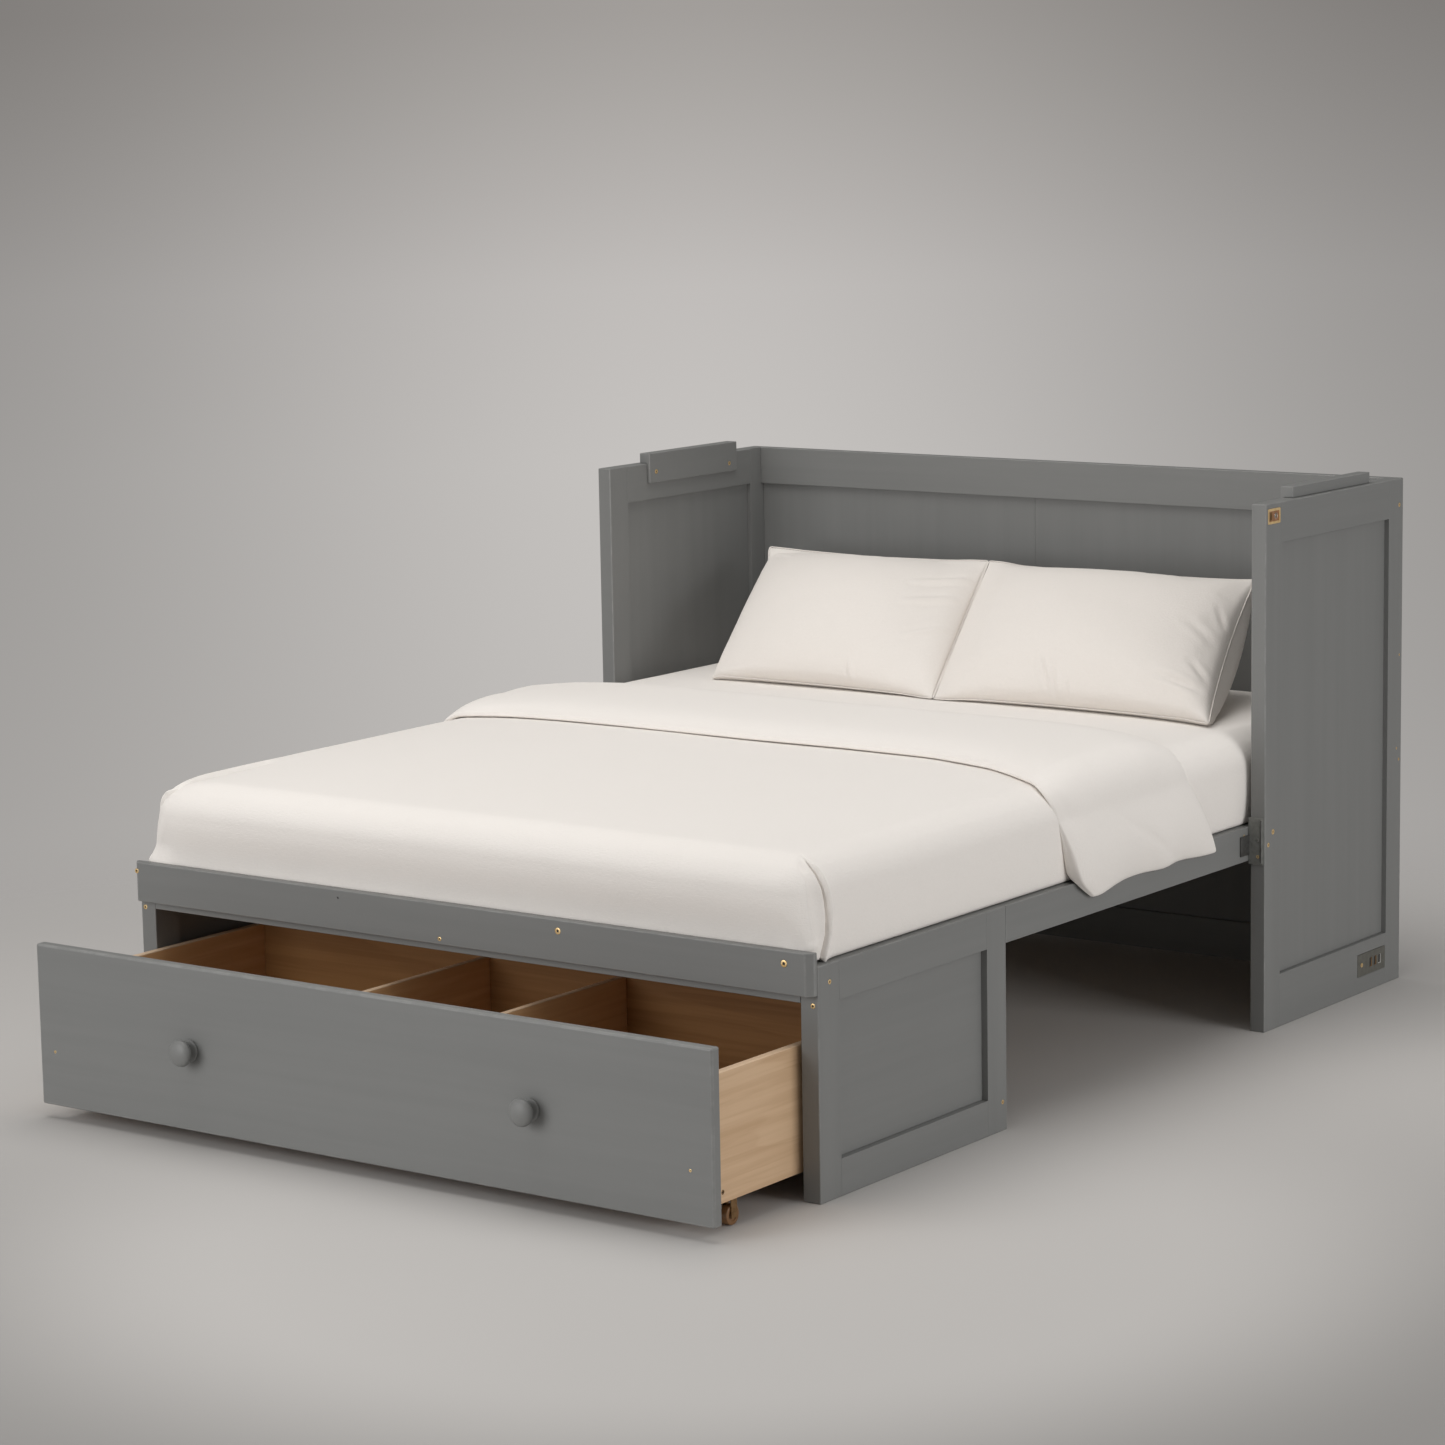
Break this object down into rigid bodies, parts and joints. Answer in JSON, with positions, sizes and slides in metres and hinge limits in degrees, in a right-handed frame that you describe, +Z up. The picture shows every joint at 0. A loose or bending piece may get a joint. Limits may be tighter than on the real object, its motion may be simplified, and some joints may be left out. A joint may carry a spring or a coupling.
{
  "type": "storage bed",
  "caption": "Cabinet bed, made up and open: head cabinet, slatted rails, foot box with a partitioned drawer on castors, mattress, duvet and pillows.",
  "frame": {"origin": "on the floor, at the middle of the bed's length and width with the drawer drawn out as in the picture", "axes": "+X to the right seen from the foot, +Y from the foot towards the head cabinet, +Z up"},
  "size_m": [1.63, 2.386, 1.066],
  "materials": {
    "grey_paint": "satin grey paint over wood, with a little grain showing",
    "drawer_wood": "clear-lacquered light wood",
    "slat_wood": "bare wood",
    "brass": "satin brass",
    "dark_steel": "dark grey paint on steel",
    "wheel_plastic": "brown plastic",
    "bed_linen": "off-white cotton"
  },
  "bodies": {
    "bed": {"cabinet_left_front_stile": "grey_paint", "cabinet_left_rear_stile": "grey_paint", "cabinet_left_top_rail": "grey_paint", "cabinet_left_bottom_rail": "grey_paint", "cabinet_left_panel": "grey_paint", "cabinet_right_front_stile": "grey_paint", "cabinet_right_rear_stile": "grey_paint", "cabinet_right_top_rail": "grey_paint", "cabinet_right_bottom_rail": "grey_paint", "cabinet_right_panel": "grey_paint", "back_top_rail": "grey_paint", "back_bottom_rail": "grey_paint", "back_panel_left": "grey_paint", "back_panel_right": "grey_paint", "lid_cleat_left": "grey_paint", "lid_cleat_right": "grey_paint", "latch_plate_left": "brass", "latch_plate_right": "brass", "outlet_plate": "dark_steel", "rail_bracket_left": "dark_steel", "rail_bracket_right": "dark_steel", "foot_left_front_leg": "grey_paint", "foot_left_rear_leg": "grey_paint", "foot_left_top_rail": "grey_paint", "foot_left_bottom_rail": "grey_paint", "foot_left_panel": "grey_paint", "foot_right_front_leg": "grey_paint", "foot_right_rear_leg": "grey_paint", "foot_right_top_rail": "grey_paint", "foot_right_bottom_rail": "grey_paint", "foot_right_panel": "grey_paint", "foot_front_rail": "grey_paint", "foot_cross_rail": "grey_paint", "foot_rear_rail": "grey_paint", "side_rail_left": "grey_paint", "side_rail_right": "grey_paint", "deck_foot": "slat_wood", "deck_middle": "slat_wood", "deck_head": "slat_wood", "mattress": "bed_linen", "duvet": "bed_linen", "pillow_left": "bed_linen", "pillow_right": "bed_linen"},
    "drawer": {"drawer_front": "grey_paint", "drawer_side_left": "drawer_wood", "drawer_side_right": "drawer_wood", "drawer_back": "drawer_wood", "drawer_bottom": "drawer_wood", "drawer_divider_left": "drawer_wood", "drawer_divider_right": "drawer_wood", "drawer_knob_left": "grey_paint", "drawer_knob_right": "grey_paint", "castor_bracket_front_left": "brass", "castor_bracket_front_right": "brass", "castor_bracket_back_left": "brass", "castor_bracket_back_right": "brass"},
    "wheel_front_left": {"castor_wheel_front_left": "wheel_plastic"},
    "wheel_front_right": {"castor_wheel_front_right": "wheel_plastic"},
    "wheel_back_left": {"castor_wheel_back_left": "wheel_plastic"},
    "wheel_back_right": {"castor_wheel_back_right": "wheel_plastic"}
  },
  "joints": [
    {"name": "drawer_slide", "type": "slide", "parent": "bed", "child": "drawer", "axis": [0, 1, 0], "range_m": [-0.222, 0.267]},
    {"name": "wheel_front_left_roll", "type": "hinge", "parent": "drawer", "child": "wheel_front_left", "pos_m": [-0.7195, -1.045, 0.018], "axis": [1, 0, 0], "continuous": true},
    {"name": "wheel_front_right_roll", "type": "hinge", "parent": "drawer", "child": "wheel_front_right", "pos_m": [0.7195, -1.045, 0.018], "axis": [1, 0, 0], "continuous": true},
    {"name": "wheel_back_left_roll", "type": "hinge", "parent": "drawer", "child": "wheel_back_left", "pos_m": [-0.7195, -0.65, 0.018], "axis": [1, 0, 0], "continuous": true},
    {"name": "wheel_back_right_roll", "type": "hinge", "parent": "drawer", "child": "wheel_back_right", "pos_m": [0.7195, -0.65, 0.018], "axis": [1, 0, 0], "continuous": true}
  ],
  "couplings": [
    {"joint": "wheel_front_left_roll", "follows": "drawer_slide", "rad_per_m": -55.556},
    {"joint": "wheel_front_right_roll", "follows": "drawer_slide", "rad_per_m": -55.556},
    {"joint": "wheel_back_left_roll", "follows": "drawer_slide", "rad_per_m": -55.556},
    {"joint": "wheel_back_right_roll", "follows": "drawer_slide", "rad_per_m": -55.556}
  ]
}
